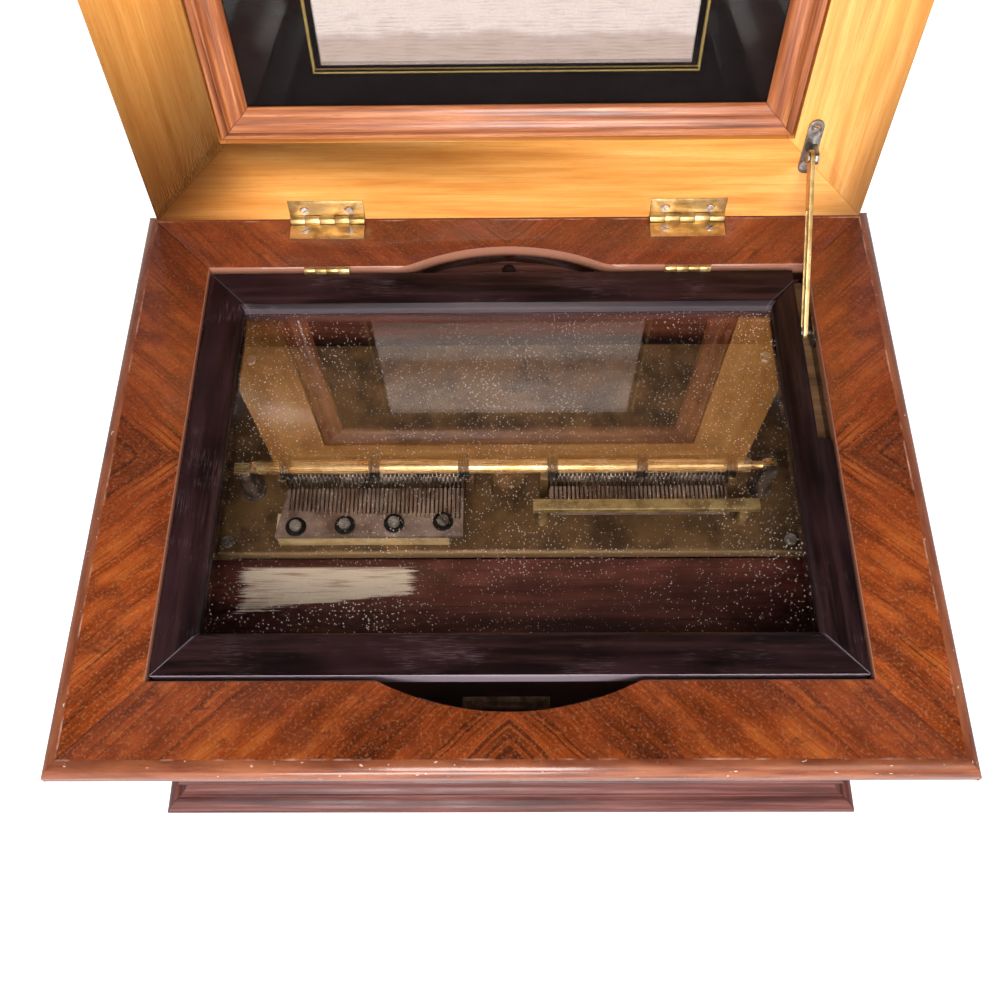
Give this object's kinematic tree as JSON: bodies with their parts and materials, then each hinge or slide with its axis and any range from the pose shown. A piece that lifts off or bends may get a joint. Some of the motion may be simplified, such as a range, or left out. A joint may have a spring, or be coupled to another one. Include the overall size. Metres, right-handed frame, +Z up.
{
  "type": "disc music box",
  "caption": "Table disc music box: veneered case with moulded rim, glazed inner lid over steel combs, star wheels and roller bar, and a propped main lid with a framed picture inside",
  "frame": {"origin": "centre of the case's underside", "axes": "+X to the right seen from the front, +Y to the lid hinges, +Z up"},
  "size_m": [0.4918, 0.4611, 0.5497],
  "materials": {
    "veneer": "gloss varnish",
    "case_wood": "satin varnish",
    "lid_wood": "gloss varnish",
    "lid_back": "satin varnish",
    "ebonised": "polished",
    "moulding": "satin varnish",
    "shelf": "gloss varnish",
    "raw_wood": "planed",
    "picture": "printed card",
    "pane": "clear",
    "gilt": "gilt, aged",
    "brass": "aged",
    "steel": "ground",
    "roller_steel": "blued",
    "iron": "painted",
    "screw_steel": "dull"
  },
  "bodies": {
    "case": {"back_wall": "case_wood", "bar_posts": "brass", "base_board": "raw_wood", "bedplate": "gilt", "case_screws": "screw_steel", "comb_fasteners": "screw_steel", "front_shelf": "shelf", "front_wall": "case_wood", "glass_hinge_leaves_case": "brass", "glass_lid_ledges": "ebonised", "hinge_pins": "brass", "left_comb": "steel", "left_comb_base": "gilt", "left_wall": "case_wood", "lid_hinge_leaves_case": "brass", "motor_frame": "iron", "movement_bearers": "raw_wood", "plinth_moulding": "case_wood", "right_comb": "steel", "right_comb_bar": "brass", "right_comb_pillars": "brass", "right_wall": "case_wood", "star_gantries": "gilt", "stay_wall_plate": "brass", "top_rail_back": "veneer", "top_rail_front": "veneer", "top_rail_left": "veneer", "top_rail_right": "veneer", "winding_escutcheon": "brass", "winding_gear_box": "iron"},
    "lid": {"lid_border": "lid_wood", "lid_rim": "lid_back", "lid_top_panel": "lid_back", "picture_moulding": "moulding", "picture_glass": "pane", "picture_board": "picture", "lid_hinge_leaves_lid": "brass", "lid_screws": "screw_steel", "stay_bracket": "brass"},
    "glass_lid": {"glass_lid_front": "ebonised", "glass_lid_back": "ebonised", "glass_lid_left": "ebonised", "glass_lid_right": "ebonised", "glass_pane": "pane", "glass_beads": "ebonised", "glass_hinge_leaves_lid": "brass"},
    "stay_bar": {"stay_bar": "brass"},
    "stay_stud": {"stay_stud": "brass"},
    "pressure_bar": {"pressure_bar": "brass"},
    "rollers": {"pressure_rollers": "roller_steel"},
    "star_wheels_left": {"star_wheels_left": "brass"},
    "star_wheels_right": {"star_wheels_right": "brass"},
    "barrel": {"spring_barrel": "brass"},
    "spindle": {"disc_spindle": "steel"},
    "governor": {"governor": "brass"},
    "winding": {"winding_arbor": "steel"}
  },
  "joints": [
    {"name": "lid_hinge", "type": "hinge", "parent": "case", "child": "lid", "pos_m": [0, 0.181, 0.191], "axis": [1, 0, 0], "range_deg": [0, 97.63]},
    {"name": "stay_pivot", "type": "hinge", "parent": "lid", "child": "stay_bar", "pos_m": [0.1905, 0.18024, 0.24558], "axis": [1, 0, 0], "range_deg": [-132.1, 0]},
    {"name": "stay_slide", "type": "slide", "parent": "stay_bar", "child": "stay_stud", "axis": [0, -0.8081, -0.589], "range_m": [-0.074, 0]},
    {"name": "glass_lid_hinge", "type": "hinge", "parent": "case", "child": "glass_lid", "pos_m": [0, 0.1403, 0.1886], "axis": [1, 0, 0], "range_deg": [-95, 0]},
    {"name": "pressure_bar_lift", "type": "hinge", "parent": "case", "child": "pressure_bar", "pos_m": [0.163, 0.0075, 0.16], "axis": [0, 1, 0], "range_deg": [0, 34.3]},
    {"name": "roller_spin", "type": "hinge", "parent": "pressure_bar", "child": "rollers", "pos_m": [0, 0.0075, 0.16], "axis": [1, 0, 0], "continuous": true},
    {"name": "star_spin_left", "type": "hinge", "parent": "case", "child": "star_wheels_left", "pos_m": [0, 0.0075, 0.145], "axis": [1, 0, 0], "continuous": true},
    {"name": "star_spin_right", "type": "hinge", "parent": "case", "child": "star_wheels_right", "pos_m": [0, 0.0075, 0.145], "axis": [1, 0, 0], "continuous": true},
    {"name": "barrel_turn", "type": "hinge", "parent": "case", "child": "barrel", "pos_m": [0.09881, 0.05894, 0], "axis": [0, 0, 1], "continuous": true},
    {"name": "spindle_turn", "type": "hinge", "parent": "case", "child": "spindle", "pos_m": [0, 0.0075, 0], "axis": [0, 0, 1], "continuous": true},
    {"name": "governor_turn", "type": "hinge", "parent": "case", "child": "governor", "pos_m": [0.02572, 0.10114, 0], "axis": [0, 0, 1], "continuous": true},
    {"name": "winding_turn", "type": "hinge", "parent": "case", "child": "winding", "pos_m": [0.2, 0.05894, 0.056], "axis": [1, 0, 0], "continuous": true}
  ],
  "couplings": [
    {"joint": "stay_pivot", "follows": "lid_hinge", "ratio": -1.3524},
    {"joint": "stay_slide", "follows": "lid_hinge", "m_per_rad": -0.043392},
    {"joint": "pressure_bar_lift", "follows": "glass_lid_hinge", "ratio": -0.36},
    {"joint": "spindle_turn", "follows": "barrel_turn", "ratio": -1.8462},
    {"joint": "governor_turn", "follows": "barrel_turn", "ratio": -6}
  ]
}
